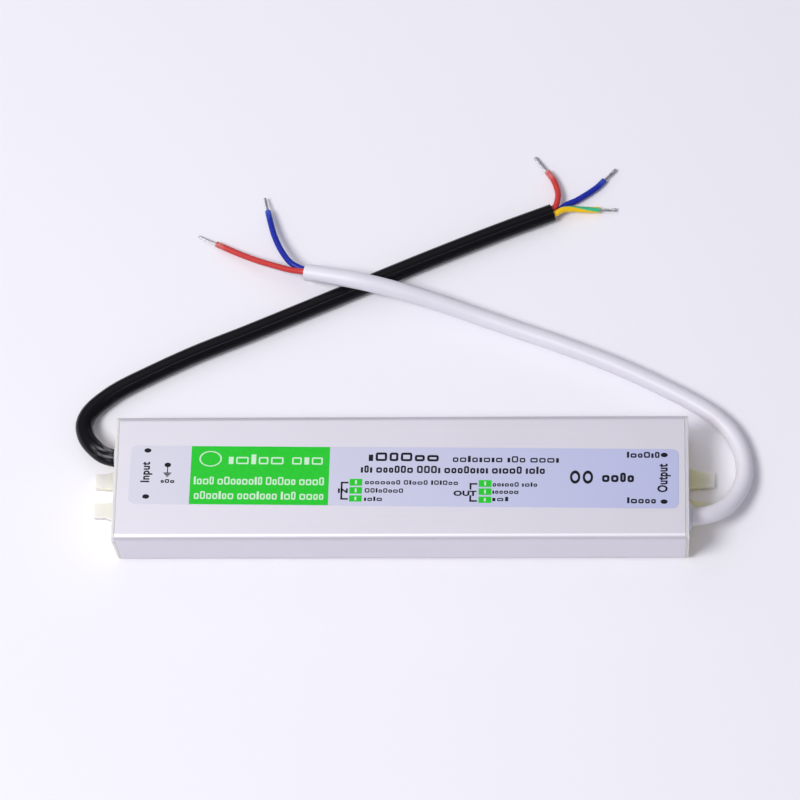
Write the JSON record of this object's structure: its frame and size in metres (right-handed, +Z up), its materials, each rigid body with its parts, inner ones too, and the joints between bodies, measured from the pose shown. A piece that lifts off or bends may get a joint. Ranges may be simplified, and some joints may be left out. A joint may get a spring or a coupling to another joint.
{
  "type": "waterproof lighting transformer",
  "caption": "Slim sealed lighting transformer: an extruded aluminium case, moulded end caps with screw forks and a flying lead at each end.",
  "frame": {"origin": "middle of the case's underside, the leads not counted", "axes": "+X along the case towards the low voltage end, +Y towards the side where the leads lie, +Z up through the labelled face"},
  "size_m": [0.24, 0.1554, 0.0212],
  "materials": {
    "case": "satin natural anodised extrusion",
    "cap": "natural nylon moulding",
    "label": "printed polyester film",
    "black_jacket": "smooth flexible sheath",
    "white_jacket": "smooth flexible sheath",
    "red_insulation": "semi-gloss flexible insulation",
    "blue_insulation": "semi-gloss flexible insulation",
    "earth_insulation": "yellow insulation with a green stripe",
    "tinned_copper": "dull tinned metal",
    "laminate": "green solder mask",
    "film": "insulating film",
    "compound": "cured potting compound",
    "fuse_ceramic": "matt ceramic",
    "blue_lacquer": "dipped lacquer",
    "yellow_box": "moulded box",
    "ferrite": "ground ferrite",
    "enamelled_copper": "enamelled wire",
    "black_moulding": "epoxy moulding",
    "can_sleeve": "shrunk sleeve",
    "silicone_pad": "heat conducting pad",
    "bobbin": "phenolic moulding",
    "winding_tape": "polyester tape"
  },
  "bodies": {
    "root": {"aluminium_case": "case", "input_end_cap": "cap", "output_end_cap": "cap", "rating_label": "label", "input_cable": "black_jacket", "output_cable": "white_jacket", "input_live_core": "red_insulation", "input_neutral_core": "blue_insulation", "input_earth_core": "earth_insulation", "output_positive_core": "red_insulation", "output_negative_core": "blue_insulation", "input_conductors": "tinned_copper", "output_conductors": "tinned_copper", "input_live_lead": "red_insulation", "input_neutral_lead": "blue_insulation", "input_earth_lead": "earth_insulation", "output_positive_lead": "red_insulation", "output_negative_lead": "blue_insulation", "circuit_board": "laminate", "solder_joints": "tinned_copper", "insulating_sheet": "film", "potting_compound": "compound", "input_fuse": "fuse_ceramic", "surge_varistor": "blue_lacquer", "filter_capacitor": "yellow_box", "filter_choke_core": "ferrite", "filter_choke_windings": "enamelled_copper", "bridge_rectifier": "black_moulding", "bulk_capacitors": "can_sleeve", "switching_transistor": "black_moulding", "transistor_pad": "silicone_pad", "transformer_core_halves": "ferrite", "transformer_bobbin": "bobbin", "transformer_winding": "winding_tape", "safety_capacitor": "blue_lacquer", "optocoupler": "black_moulding", "controller_chip": "black_moulding", "chip_resistors": "black_moulding", "signal_diodes": "black_moulding", "output_rectifier": "black_moulding", "rectifier_pad": "silicone_pad", "output_capacitors": "can_sleeve", "output_choke_core": "ferrite", "output_choke_winding": "enamelled_copper"}
  },
  "joints": []
}
